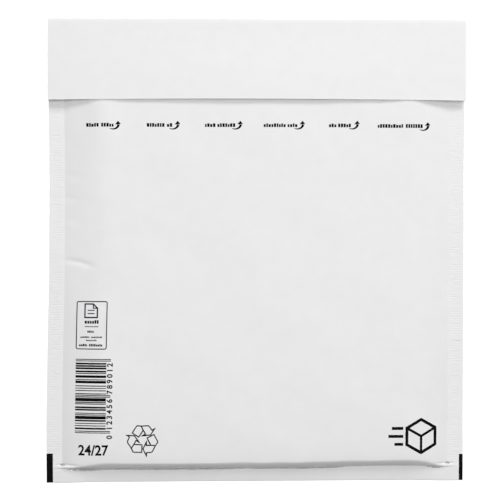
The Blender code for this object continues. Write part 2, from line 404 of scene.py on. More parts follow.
    def flap_height(self, x, y):
        """The flap: level at its fold, and bowed most at its free edge."""
        reach = smooth((self.fold - y) / (self.fold - self.flap_edge))
        bow = self.s.bow * (1 - (x / self.half) ** 2)
        ripple = self.RIPPLE * waves(x, y, self.RIPPLE_LENGTH, 8) * reach
        burr = self.CUT_CURL * smooth((self.flap_edge - y) / MM + 1)
        droop = self.END_DROOP * smooth((np.abs(x) - self.half) / self.END_LENGTH + 1)
        return self.flap_level + (bow + ripple) * reach + burr - droop

    def front(self, x, y):
        """The middle of the front's paper."""
        return self.place(x, y, self.front_height(x, y))

    def back(self, x, y):
        """The middle of the back's paper."""
        return self.place(x, y, self.back_height(x, y))

    def flap(self, x, y):
        """The flap, the middle of its edge drawn up a little."""
        reach = (self.fold - y) / (self.fold - self.flap_edge)
        drawn_up = self.EDGE_SWEEP * reach * (1 - (x / self.EDGE_HALF) ** 2)
        return self.place(x, y + drawn_up, self.flap_height(x, y), 0.0)

    def pocket_height(self, x, y):
        """The middle of the pocket, halfway between the front and the back."""
        return (self.front_height(x, y) + self.back_height(x, y)) / 2


def the_envelope():
    """The envelope with the sizes in the sidebar."""
    return Envelope(sizes(), bpy.context.scene.seal_sizes)


def lifted(surface, x, y, lift):
    """The surface's points moved that far along its normal, which is the cross product of its slopes."""
    step = 0.2 * MM
    here = surface(x, y)
    normal = np.cross(surface(x + step, y) - here, surface(x, y + step) - here)
    return here + lift * normal / np.linalg.norm(normal, axis=-1, keepdims=True)


# Meshes


def grid_faces(rows, columns, start=0):
    """Four-sided faces over points numbered row by row, facing up where rows run towards -Y."""
    corner = start + np.arange(rows * columns).reshape(rows, columns)
    ring = (corner[:-1, :-1], corner[1:, :-1], corner[1:, 1:], corner[:-1, 1:])
    return np.stack(ring, axis=-1).reshape(-1, 4)


def mesh_object(name, points, faces, material, flat=None):
    """An object with that mesh, shaded smooth but for its sharp edges and the faces marked flat."""
    data = bpy.data.meshes.new(name)
    data.from_pydata(np.asarray(points).reshape(-1, 3).tolist(), [], [list(face) for face in faces])
    data.set_sharp_from_angle(angle=math.radians(60))
    if flat is not None:
        data.polygons.foreach_set("use_smooth", ~flat)
    data.materials.append(material)
    made = bpy.data.objects.new(name, data)
    bpy.context.scene.collection.objects.link(made)
    return made


def closed_slab(high, low):
    """The points and faces of a solid between two grids of points with the same rows and columns."""
    rows, columns = high.shape[:2]
    number = np.arange(rows * columns).reshape(rows, columns)
    rim = np.concatenate([number[0], number[1:, -1], number[-1, -2::-1], number[-2::-1, 0]])
    under = rim + rows * columns
    wall = np.stack([rim[:-1], rim[1:], under[1:], under[:-1]], axis=-1)
    top = grid_faces(rows, columns)
    bottom = grid_faces(rows, columns, rows * columns)[:, ::-1]
    points = np.concatenate([high.reshape(-1, 3), low.reshape(-1, 3)])
    return points, [*top.tolist(), *bottom.tolist(), *wall.tolist()]


def laminate(middle, thickness):
    """The points and faces of a sheet of that thickness: its middle's points moved by half of it both ways
    along their normals, each the cross product of the steps to its neighbours."""
    normal = np.cross(np.gradient(middle, axis=0), np.gradient(middle, axis=1))
    shift = normal / np.linalg.norm(normal, axis=-1, keepdims=True) * thickness / 2
    return closed_slab(middle + shift, middle - shift)


# Materials


def material_of(name):
    """A new material, its nodes, its links and its Principled shader."""
    material = bpy.data.materials.new(name)
    material.use_nodes = True
    tree = material.node_tree
    return material, tree, tree.nodes["Principled BSDF"]


def new_group(name, inputs, outputs):
    """An empty shader node group with those sockets: name, socket type and, for inputs, default."""
    group = bpy.data.node_groups.new(name, "ShaderNodeTree")
    for label, kind, default in inputs:
        group.interface.new_socket(label, in_out="INPUT", socket_type=kind).default_value = default
    for label, kind in outputs:
        group.interface.new_socket(label, in_out="OUTPUT", socket_type=kind)
    return group, group.nodes.new("NodeGroupInput"), group.nodes.new("NodeGroupOutput")


def paper_fibres():
    """The look of pulp: clouds where the sheet is thicker or thinner, and short fibres across its surface.
    The first output is a mask from 0, thin, to 1, thick, and the second a height."""
    if "Paper fibres" in bpy.data.node_groups:
        return bpy.data.node_groups["Paper fibres"]
    group, given, result = new_group(
        "Paper fibres",
        (
            ("Cloud size", "NodeSocketFloat", 120.0),
            ("Fibre size", "NodeSocketFloat", 2600.0),
            ("Fibre share", "NodeSocketFloat", 0.35),
        ),
        (("Thickness", "NodeSocketFloat"), ("Height", "NodeSocketFloat")),
    )
    nodes, link = group.nodes, group.links.new
    where = nodes.new("ShaderNodeTexCoord")
    stretch = nodes.new("ShaderNodeMapping")
    stretch.inputs["Scale"].default_value = (1.0, 0.45, 1.0)
    clouds, fibres = nodes.new("ShaderNodeTexNoise"), nodes.new("ShaderNodeTexNoise")
    clouds.inputs["Detail"].default_value = 4.0
    fibres.inputs["Detail"].default_value = 2.0
    both = nodes.new("ShaderNodeMix")
    link(where.outputs["Object"], clouds.inputs["Vector"])
    link(where.outputs["Object"], stretch.inputs["Vector"])
    link(stretch.outputs["Vector"], fibres.inputs["Vector"])
    link(given.outputs["Cloud size"], clouds.inputs["Scale"])
    link(given.outputs["Fibre size"], fibres.inputs["Scale"])
    link(given.outputs["Fibre share"], both.inputs["Factor"])
    link(clouds.outputs["Fac"], both.inputs["A"])
    link(fibres.outputs["Fac"], both.inputs["B"])
    link(both.outputs["Result"], result.inputs["Thickness"])
    link(fibres.outputs["Fac"], result.inputs["Height"])
    return group


def put_fibres(tree, cloud_size, fibre_size, fibre_share):
    """The pulp's group, placed in a material with its own values."""
    node = tree.nodes.new("ShaderNodeGroup")
    node.node_tree = paper_fibres()
    node.inputs["Cloud size"].default_value = cloud_size
    node.inputs["Fibre size"].default_value = fibre_size
    node.inputs["Fibre share"].default_value = fibre_share
    return node


def blended(tree, mask, low, high):
    """A colour that goes from low to high as the mask goes from a third to two thirds."""
    ramp = tree.nodes.new("ShaderNodeValToRGB")
    first, last = ramp.color_ramp.elements
    first.position, last.position = 0.33, 0.67
    first.color, last.color = (*low, 1), (*high, 1)
    tree.links.new(mask, ramp.inputs["Fac"])
    return ramp.outputs["Color"]


def ranged(tree, mask, low, high):
    """A number that goes from low to high as the mask goes from 0 to 1."""
    scale = tree.nodes.new("ShaderNodeMapRange")
    scale.inputs["To Min"].default_value = low
    scale.inputs["To Max"].default_value = high
    tree.links.new(mask, scale.inputs["Value"])
    return scale.outputs["Result"]


def bumped(tree, shader, height, distance, strength):
    """Feeds a height to the shader's normal through a Bump node, and gives the node back."""
    bump = tree.nodes.new("ShaderNodeBump")
    bump.inputs["Distance"].default_value = distance
    bump.inputs["Strength"].default_value = strength
    tree.links.new(height, bump.inputs["Height"])
    tree.links.new(bump.outputs["Normal"], shader.inputs["Normal"])
    return bump


def fibrous(name, pulp, colours, roughness, bump):
    """A material whose colour, roughness and bump all follow the pulp, and its shader."""
    material, tree, shader = material_of(name)
    fibres = put_fibres(tree, *pulp)
    thickness = fibres.outputs["Thickness"]
    tree.links.new(blended(tree, thickness, *colours), shader.inputs["Base Color"])
    tree.links.new(ranged(tree, thickness, *roughness), shader.inputs["Roughness"])
    bumped(tree, shader, fibres.outputs["Height"], *bump)
    return material, shader


def white_paper():
    """Bleached paper: faint clouds in its white, short fibres, and a little gloss from its sizing."""
    looks = bpy.context.scene.finishes
    colours = looks.paper_shade, looks.paper
    pulp, bump = (130.0, 2400.0, 0.35), (0.03 * MM, 0.5)
    material, shader = fibrous("bleached_paper", pulp, colours, (0.86, 0.74), bump)
    shader.inputs["Specular IOR Level"].default_value = 0.30
    return material


def release_coating():
    """Thin paper under a shiny silicone coating."""
    looks = bpy.context.scene.finishes
    colours = looks.release, toned(looks.release, 1.05)
    pulp, bump = (200.0, 1500.0, 0.5), (0.02 * MM, 0.4)
    material, shader = fibrous("release_coated", pulp, colours, (0.34, 0.22), bump)
    shader.inputs["Coat Weight"].default_value = 0.5
    shader.inputs["Coat Roughness"].default_value = 0.15
    return material


def black_ink():
    """Flexographic ink: solid black that starves a little where the paper's surface is low."""
    looks = bpy.context.scene.finishes
    colours = looks.ink_thin, looks.ink
    pulp, bump = (700.0, 2600.0, 0.5), (0.02 * MM, 0.4)
    material, shader = fibrous("black_ink", pulp, colours, (0.70, 0.50), bump)
    shader.inputs["Specular IOR Level"].default_value = 0.04
    return material


def toned(tint, times):
    """A colour that many times as bright, but no brighter than white."""
    return tuple(min(1.0, c * times) for c in tint)


def clear_film():
    """Polyethylene film: clear, glossy, and slightly hazy where it is drawn thin."""
    looks = bpy.context.scene.finishes
    material, tree, shader = material_of("bubble_film_clear")
    haze = tree.nodes.new("ShaderNodeTexNoise")
    haze.inputs["Scale"].default_value = 240.0
    haze.inputs["Detail"].default_value = 3.0
    where = tree.nodes.new("ShaderNodeTexCoord")
    tree.links.new(where.outputs["Object"], haze.inputs["Vector"])
    tone = blended(tree, haze.outputs["Fac"], looks.film, toned(looks.film, 1.04))
    tree.links.new(tone, shader.inputs["Base Color"])
    tree.links.new(ranged(tree, haze.outputs["Fac"], 0.10, 0.26), shader.inputs["Roughness"])
    shader.inputs["Transmission Weight"].default_value = 0.75
    shader.inputs["IOR"].default_value = 1.50
    bumped(tree, shader, haze.outputs["Fac"], 0.05 * MM, 0.3)
    return material


def hot_melt():
    """Hot-melt adhesive: amber, wet looking, drawn into fine lines along the strip as it was laid."""
    looks = bpy.context.scene.finishes
    material, tree, shader = material_of("amber_adhesive")
    where, stretch = tree.nodes.new("ShaderNodeTexCoord"), tree.nodes.new("ShaderNodeMapping")
    stretch.inputs["Scale"].default_value = (40.0, 2200.0, 40.0)
    lines = tree.nodes.new("ShaderNodeTexNoise")
    lines.inputs["Scale"].default_value = 1.0
    lines.inputs["Detail"].default_value = 3.0
    tree.links.new(where.outputs["Object"], stretch.inputs["Vector"])
    tree.links.new(stretch.outputs["Vector"], lines.inputs["Vector"])
    tone = blended(tree, lines.outputs["Fac"], toned(looks.adhesive, 0.86), looks.adhesive)
    tree.links.new(tone, shader.inputs["Base Color"])
    tree.links.new(ranged(tree, lines.outputs["Fac"], 0.18, 0.34), shader.inputs["Roughness"])
    shader.inputs["Coat Weight"].default_value = 0.6
    shader.inputs["Coat Roughness"].default_value = 0.08
    bumped(tree, shader, lines.outputs["Fac"], 0.08 * MM, 0.6)
    return material


def plain_floor():
    """A matt floor that looks plain white, as a lit sweep does: what the camera sees of it glows, and what
    the envelope gets from it is only the light it reflects."""
    look = bpy.context.scene.studio
    material, tree, shader = material_of("studio_floor")
    shader.inputs["Base Color"].default_value = (*look.floor, 1)
    shader.inputs["Roughness"].default_value = 0.9
    shader.inputs["Specular IOR Level"].default_value = 0.1
    shader.inputs["Emission Color"].default_value = (1, 1, 1, 1)
    seen = tree.nodes.new("ShaderNodeLightPath").outputs["Is Camera Ray"]
    tree.links.new(ranged(tree, seen, 0.0, look.floor_glow), shader.inputs["Emission Strength"])
    return material


def kept(name, maker):
    """The material of that name, made the first time it is asked for. The CAD's own materials go by their
    slots' names, so none of these may."""
    return bpy.data.materials.get(name) or maker()


# The folded sheet


def sheet_columns(envelope):
    """The x of the sheet's columns, close together in the seals and on the shoulders."""
    shoulder_end = envelope.pocket_half - envelope.s.side_shoulder
    seal = np.linspace(envelope.half, envelope.pocket_half, 8)
    shoulder = np.linspace(envelope.pocket_half, shoulder_end, 12)[1:]
    middle = np.linspace(shoulder_end, -shoulder_end, 61)[1:-1]
    side = np.concatenate([seal, shoulder])
    return np.concatenate([-side, -middle, side[::-1]])


ROWS_ABOVE = 3.8  # how far above the foot seal the close rows start, as a share of the foot's shoulder
ROWS_BELOW = 1.2 * MM  # how far below its upper end they stop


def front_rows(envelope):
    """The y of the front's rows: two to each groove, and three times as many round the foot's seam."""
    half_pitch = envelope.seal_sizes.pitch / 2
    above = envelope.pocket_foot + ROWS_ABOVE * envelope.s.foot_shoulder
    even = envelope.s.lip - half_pitch * np.arange(int((envelope.s.lip - above) / half_pitch) + 1)
    seam_low = envelope.pocket_foot - ROWS_BELOW
    dense = np.linspace(even[-1], seam_low, 51)[1:-1]
    seal = np.linspace(seam_low, envelope.foot_turn, 8)
    return np.concatenate([even, dense, seal])


def turned(envelope, x, angle):
    """The fold at the foot: half a circle from the front round to the back."""
    radius = envelope.foot_seam / 2
    y = envelope.foot_turn - radius * np.sin(angle)
    z = envelope.back_height(x, envelope.foot_turn + 0 * x) + radius * (1 + np.cos(angle))
    return envelope.place(x, y, z)


def flap_fold(envelope, x, angle):
    """The flap's fold: half of a squarish ellipse, its sine and cosine raised to a power below 1, from the
    back up to the flap."""
    low = envelope.s.paper / 2
    high = envelope.flap_height(x, envelope.fold + 0 * x)
    middle, half = (high + low) / 2, (high - low) / 2
    crushed = 1 - envelope.CRUSH * waves(x, 0 * x, envelope.CRUSH_LENGTH, 15) ** 2
    y = envelope.fold + envelope.FOLD_DEPTH * np.sin(angle) ** envelope.SQUARING * crushed
    rise = np.sign(np.cos(angle)) * np.abs(np.cos(angle)) ** envelope.SQUARING
    return envelope.place(x, y, middle - half * rise, 0.0)


def folded_sheet(envelope):
    """The whole sheet's middle as rows of points: front, foot's fold, back, flap's fold and flap."""
    x = sheet_columns(envelope)
    parts = [envelope.front(*np.meshgrid(x, front_rows(envelope)))]
    parts.append(turned(envelope, *np.meshgrid(x, np.linspace(0, math.pi, 8)[1:-1])))
    parts.append(envelope.back(*np.meshgrid(x, np.linspace(envelope.foot_turn, envelope.fold, 44))))
    parts.append(flap_fold(envelope, *np.meshgrid(x, np.linspace(0, math.pi, 15)[1:-1])))
    flap_rows = np.linspace(envelope.fold, envelope.flap_edge + MM, 28)
    cut_rows = np.linspace(envelope.flap_edge + MM, envelope.flap_edge, 5)[1:]
    parts.append(envelope.flap(*np.meshgrid(x, np.concatenate([flap_rows, cut_rows]))))
    return np.concatenate(parts)


def grooved_faces(envelope):
    """Whether each of the front's faces is the flat side of a groove."""
    x, y = sheet_columns(envelope), front_rows(envelope)
    middle = (x[1:] + x[:-1]) / 2
    in_band = np.abs(middle) > envelope.pocket_half
    above_foot = (y[1:] + y[:-1])[:, None] / 2 > envelope.pocket_foot
    return (in_band[None, :] & above_foot).ravel()


class EnvelopeOuterPaper(bpy.types.Operator):
    """Makes the outer paper: one sheet folded at the foot and at the flap, welded down its sides."""

    bl_idname = "envelope.outer_paper"
    bl_label = "Outer Paper"

    def execute(self, context):
        envelope = the_envelope()
        points, faces = laminate(folded_sheet(envelope), envelope.s.paper)
        grooved = grooved_faces(envelope)
        flat = np.zeros(len(faces), dtype=bool)
        flat[: len(grooved)] = grooved
        sheet = mesh_object("paper_sheet", points, faces, kept("bleached_paper", white_paper), flat)
        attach(sheet, BODY)
        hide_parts("outer_paper")
        return {"FINISHED"}


# The padding

FILM_END = 1.4 * MM  # how far above the foot the film ends
FIRST_ROW = 0.62  # how far below the mouth the first bubbles' middles are, in rows
KEPT_CLEAR = 0.6  # how far from the seals a bubble's middle stays, in pitches
RADII, SEGMENTS = np.array([1.0, 0.93, 0.72, 0.38]), 12  # a bubble's rings, as shares of its radius


def pad_layer(envelope, x, y, upper):
    """One layer's faces, the pocket's side and the paper's side, as two heights."""
    s = envelope.s
    middle = envelope.pocket_height(x, y)
    if upper:
        room = envelope.front_height(x, y) - s.paper / 2 - s.clearance / 2
        return middle + envelope.SLIT / 4, room
    room = envelope.back_height(x, y) + s.paper / 2 + s.clearance / 2
    return middle - envelope.SLIT / 4, room


def flat_film(envelope, upper, thickness):
    """The flat film of one layer as a closed slab: points and faces."""
    x = np.linspace(-envelope.half, envelope.half, 61)
    y = np.linspace(envelope.s.lip, envelope.foot + FILM_END, 66)
    x, y = np.meshgrid(x, y)
    inner, _ = pad_layer(envelope, x, y, upper)
    outer = inner + (thickness if upper else -thickness)
    high, low = (outer, inner) if upper else (inner, outer)
    return closed_slab(envelope.place(x, y, high), envelope.place(x, y, low))


def bubble_middles(envelope, pitch):
    """The middles of the bubbles, in rows that are half a pitch out of step with their neighbours."""
    row_pitch, margin = pitch * math.sqrt(3) / 2, KEPT_CLEAR * pitch
    rows = int((envelope.s.lip - envelope.pocket_foot) / row_pitch)
    across = int(envelope.pocket_half / pitch)
    column, row = np.meshgrid(np.arange(-across, across + 1), np.arange(rows))
    x = (column + 0.5 * (row % 2)) * pitch
    y = envelope.s.lip - (row + FIRST_ROW) * row_pitch
    inside = (np.abs(x) < envelope.pocket_half - margin) & (y > envelope.pocket_foot + margin)
    return x[inside], y[inside]


def bubbles(envelope, upper):
    """The bubbles of one layer, pressed as low as the paper over them: each a ring profile carried round
    its middle, whose height goes as the root of 1 - rrr."""
    look = bpy.context.scene.bubble_sizes
    x, y = bubble_middles(envelope, look.pitch)
    angles = np.arange(SEGMENTS) * 2 * math.pi / SEGMENTS
    ring_x = (look.radius * RADII[:, None] * np.cos(angles))[None] + x[:, None, None]
    ring_y = (look.radius * RADII[:, None] * np.sin(angles))[None] + y[:, None, None]
    rise = np.sqrt(1 - RADII**3)[None, :, None]
    outwards = 1 if upper else -1
    rims, ceiling = pad_layer(envelope, ring_x, ring_y, upper)
    rims = rims + outwards * look.film
    room = np.abs(ceiling - rims).min(axis=(1, 2), keepdims=True)
    height = np.minimum(look.height, room) * outwards
    rings = envelope.place(ring_x, ring_y, rims + height * rise)
    base, _ = pad_layer(envelope, x, y, upper)
    poles = envelope.place(x, y, base + outwards * look.film + height[:, 0, 0])
    return dome_mesh(rings, poles, upper)


def dome_mesh(rings, poles, upper):
    """Points and faces of closed domes from their rings and their poles."""
    count, levels, segments = rings.shape[:3]
    points = np.concatenate([rings.reshape(count, -1, 3), poles[:, None]], axis=1)
    number = np.arange(levels * segments).reshape(levels, segments)
    beside = np.roll(number, -1, axis=1)
    sides = np.stack([number[:-1], beside[:-1], beside[1:], number[1:]], axis=-1).reshape(-1, 4)
    cap = np.stack([number[-1], beside[-1], np.full(segments, levels * segments)], axis=-1)
    one = [*sides.tolist(), *cap.tolist(), number[0][::-1].tolist()]
    one = one if upper else [face[::-1] for face in one]
    shifts = np.arange(count) * points.shape[1]
    faces = [(np.array(face) + shifts[:, None]).tolist() for face in one]
    return points.reshape(-1, 3), [face for same in faces for face in same]


def together(parts):
    """Several pairs of points and faces as one pair."""
    points, faces, start = [], [], 0
    for part_points, part_faces in parts:
        part_points = np.asarray(part_points).reshape(-1, part_points.shape[-1])
        points.append(part_points)
        faces += [[corner + start for corner in face] for face in part_faces]
        start += len(part_points)
    return np.concatenate(points), faces


class EnvelopeBubbleLining(bpy.types.Operator):
    """Makes the lining: two layers of bubble film, welded at the sides and the foot, open at the mouth."""

    bl_idname = "envelope.bubble_lining"
    bl_label = "Bubble Lining"

    def execute(self, context):
        envelope = the_envelope()
        film = context.scene.bubble_sizes.film
        parts = [flat_film(envelope, upper, film) for upper in (True, False)]
        parts += [bubbles(envelope, upper) for upper in (True, False)]
        points, faces = together(parts)
        lining = mesh_object("bubble_film", points, faces, kept("bubble_film_clear", clear_film))
        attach(lining, BODY)
        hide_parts("bubble_lining")
        return {"FINISHED"}


# The closing strips

STRIP_INSET = 1 * MM
STRIP_SPAN = 30 * MM  # how far apart a strip's two edges are taken to be, so that they waver differently
WAVER_LENGTH = 12 * MM


def flap_strip(envelope, low, high, below, waver):
    """The middle of a strip on the flap's inner face, that far below the paper, its long edges wavering."""
    across = np.linspace(low.x + STRIP_INSET, high.x - STRIP_INSET, 121)
    x, share_up = np.meshgrid(across, np.linspace(1, 0, 17))
    drift = waver * waves(x, share_up * STRIP_SPAN, WAVER_LENGTH, 31) * (2 * share_up - 1)
    y = low.y + (high.y - low.y) * share_up + drift
    return lifted(envelope.flap, x, y, -below)


class EnvelopeClosingStrips(bpy.types.Operator):
    """Makes the adhesive on the flap's inner face and the release paper that covers it."""

    bl_idname = "envelope.closing_strips"
    bl_label = "Adhesive and Release Paper"

    ADHESIVE, ADHESIVE_WAVER = mm(0.15, 0.35)  # thickness, and how far the edges waver
    RELEASE, RELEASE_WAVER = mm(0.1, 0.05)

    def execute(self, context):
        envelope = the_envelope()
        s = envelope.s
        below = s.paper / 2 + s.clearance + self.ADHESIVE / 2
        middle = flap_strip(envelope, ADHESIVE_LOW, ADHESIVE_HIGH, below, self.ADHESIVE_WAVER)
        points, faces = laminate(middle, self.ADHESIVE)
        adhesive = mesh_object("adhesive_band", points, faces, kept("amber_adhesive", hot_melt))
        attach(adhesive, BODY)
        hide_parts("adhesive_strip")
        below += (self.ADHESIVE + self.RELEASE) / 2 + s.clearance
        middle = flap_strip(envelope, RELEASE_LOW, RELEASE_HIGH, below, self.RELEASE_WAVER)
        points, faces = laminate(middle, self.RELEASE)
        release = mesh_object("release_strip", points, faces, kept("release_coated", release_coating))
        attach(release, BODY)
        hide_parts("release_paper")
        return {"FINISHED"}


# The print: flat shapes in the plane of the sheet, then laid on it

INK = 0.03 * MM
STEP = 1.5 * MM  # between the points of a printed line, so that it follows the paper
CAP_SHARE = 0.73  # how high the font's numerals are, as a share of its size
SHARPEST = 0.35  # the least cosine a corner is drawn with, so that sharp ones don't grow spikes


def plate(left, low, right, high, step=STEP):
    """A rectangle cut into cells no larger than the step."""
    across = max(2, math.ceil((right - left) / step) + 1)
    along = max(2, math.ceil((high - low) / step) + 1)
    x, y = np.meshgrid(np.linspace(left, right, across), np.linspace(high, low, along))
    return np.stack([x, y], axis=-1).reshape(-1, 2), grid_faces(along, across).tolist()


def spaced(points, step=STEP):
    """The corners of a path with points put between them, no further apart than the step."""
    points = np.asarray(points, dtype=float)
    runs = np.linalg.norm(np.diff(points, axis=0), axis=1)
    counts = np.maximum(1, np.ceil(runs / step)).astype(int)
    shares = [np.arange(n) / n for n in counts]
    pieces = [a + (b - a) * t[:, None] for a, b, t in zip(points[:-1], points[1:], shares)]
    return np.concatenate([*pieces, points[-1:]])


def ribbon(points, width, closed=False):
    """A line along the points: each point moved half the width to both sides, along the bisector of its
    corner and by 1/cos of half its turn. The width may be one number or one for each point."""
    points = np.asarray(points, dtype=float)
    if closed:
        points = points[:-1]
    ahead, behind = np.roll(points, -1, axis=0) - points, points - np.roll(points, 1, axis=0)
    if not closed:
        ahead[-1], behind[0] = behind[-1], ahead[0]
    ahead /= np.linalg.norm(ahead, axis=1, keepdims=True)
    behind /= np.linalg.norm(behind, axis=1, keepdims=True)
    bisector = ahead + behind
    bisector /= np.linalg.norm(bisector, axis=1, keepdims=True)
    cosine = np.maximum(SHARPEST, (bisector * ahead).sum(axis=1))
    side = np.stack([-bisector[:, 1], bisector[:, 0]], axis=-1)
    side *= (np.broadcast_to(width, len(points)) / 2 / cosine)[:, None]
    rows = np.stack([points + side, points - side])
    if closed:
        rows = np.concatenate([rows, rows[:, :1]], axis=1)
    return rows.reshape(-1, 2), grid_faces(2, rows.shape[1]).tolist()


def arc(middle, radius, start, end, count=9):
    """Points along an arc, its angles in degrees."""
    angle = np.radians(np.linspace(start, end, count))
    return np.stack([middle[0] + radius * np.cos(angle), middle[1] + radius * np.sin(angle)], axis=-1)


def moved(shape, offset, angle=0.0):
    """The shape turned about its origin by an angle in degrees, then moved."""
    points, faces = shape
    c, s = math.cos(math.radians(angle)), math.sin(math.radians(angle))
    return points @ np.array([[c, s], [-s, c]]) + np.asarray(offset), faces


def numerals(text, height, bold=0.0):
    """Numerals of that cap height as flat faces, their foot on the x axis and their middle at x = 0."""
    font = bpy.data.curves.new("numerals", "FONT")
    font.body, font.size, font.offset = text, height / CAP_SHARE, bold
    font.align_x, font.resolution_u = "CENTER", 3
    holder = bpy.data.objects.new("numerals", font)
    bpy.context.scene.collection.objects.link(holder)
    mesh = bpy.data.meshes.new_from_object(holder.evaluated_get(bpy.context.evaluated_depsgraph_get()))
    points = np.array([vertex.co[:2] for vertex in mesh.vertices])
    faces = [list(face.vertices) for face in mesh.polygons]
    bpy.data.objects.remove(holder)
    bpy.data.curves.remove(font)
    bpy.data.meshes.remove(mesh)
    return points, faces


def printed(name, shapes):
    """Lays flat shapes on the front as a film of ink, and makes them ride with the envelope."""
    envelope = the_envelope()
    flat, faces = together(shapes)
    points = lifted(envelope.front, flat[:, 0], flat[:, 1], envelope.s.paper / 2 + INK)
    edged = np.ones(len(faces), dtype=bool)
    made = mesh_object(name, points, facing_up(flat, faces), kept("black_ink", black_ink), edged)
    solid = made.modifiers.new("Thickness", "SOLIDIFY")
    solid.thickness = INK
    solid.offset = 0.0
    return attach(made, BODY)


def facing_up(flat, faces):
    """The faces with their corners in the order that makes them face up: their area is positive."""
    out = []
    for face in faces:
        x, y = flat[face].T
        area = np.dot(x, np.roll(y, -1)) - np.dot(y, np.roll(x, -1))
        out.append(face if area > 0 else face[::-1])
    return out


# A word's blocks, as shares of its height: their widths and heights, the gap, and the least room for one
BLOCK_WIDTHS, BLOCK_HEIGHTS, BLOCK_GAP, LEAST_ROOM = (0.42, 0.66), (0.78, 1.0), 0.16, 0.3


def word(draw, width, height):
    """What stands in for a word: a row of plain blocks of uneven width and height."""
    shapes, x = [], 0.0
    while x < width - LEAST_ROOM * height:
        block = min(height * draw.uniform(*BLOCK_WIDTHS), width - x)
        shapes.append(plate(x, 0, x + block, height * draw.choice(BLOCK_HEIGHTS)))
        x += block + BLOCK_GAP * height
    return shapes


class EnvelopeOpeningHints(bpy.types.Operator):
    """Prints the row of hints below the flap: made-up words, each with an arrow that sweeps up."""

    bl_idname = "envelope.opening_hints"
    bl_label = "Opening Hints"

    CAP = 2.1 * MM
    # The start and the foot of each hint, the widths of its words, and the tip of its arrow
    HINTS = (
        (*mm(-98.2, 71.2), mm(7.6, 7.0), mm(-79.9, 74.6)),
        (*mm(-63.5, 71.2), mm(10.4, 3.8), mm(-45.8, 74.7)),
        (*mm(-30.2, 71.2), mm(6.0, 11.0), mm(-9.9, 74.8)),
        (*mm(3.5, 71.2), mm(12.6, 6.0), mm(25.9, 74.9)),
        (*mm(41.1, 71.2), mm(4.2, 8.2), mm(57.4, 75.0)),
        (*mm(69.2, 70.9), mm(15.0, 10.0), mm(98.3, 74.3)),
    )
    WORD_GAP = 1.1 * MM
    # From an arrow's tail: the middle and the half axes of its sweep, then its tip and its two barbs
    SWEEP, HALF_AXES = mm(1.7, 2.3), mm(3.3, 2.75)
    TIP, BARBS = mm(4.8, 4.3), (mm(3.0, 2.2), mm(6.3, 2.4))
    SWEEP_FROM, SWEEP_BY = -120, 117  # degrees
    THINNEST, THICKER = 0.3, 1.2  # the stroke's width at its start and how much it gains, in millimetres

    def arrow(self):
        """A stroke that starts thin, sweeps round and up on part of an ellipse, and ends in a head."""
        t = np.linspace(0, 1, 14)
        angle = np.radians(self.SWEEP_FROM + self.SWEEP_BY * t)
        path = np.stack([np.cos(angle), np.sin(angle)], axis=-1) * self.HALF_AXES + self.SWEEP
        stroke = ribbon(path, (self.THINNEST + self.THICKER * t) * MM)
        left, right = self.BARBS
        return [stroke, (np.array([left, right, self.TIP]), [[0, 1, 2]])]

    def execute(self, context):
        draw = np.random.default_rng(41)
        shapes = []
        for x, foot, widths, tip in self.HINTS:
            for width in widths:
                shapes += [moved(part, (x, foot)) for part in word(draw, width, self.CAP)]
                x += width + self.WORD_GAP
            tail = np.subtract(tip, self.TIP)
            shapes += [moved(part, tail) for part in self.arrow()]
        printed("print_opening_hints", shapes)
        return {"FINISHED"}


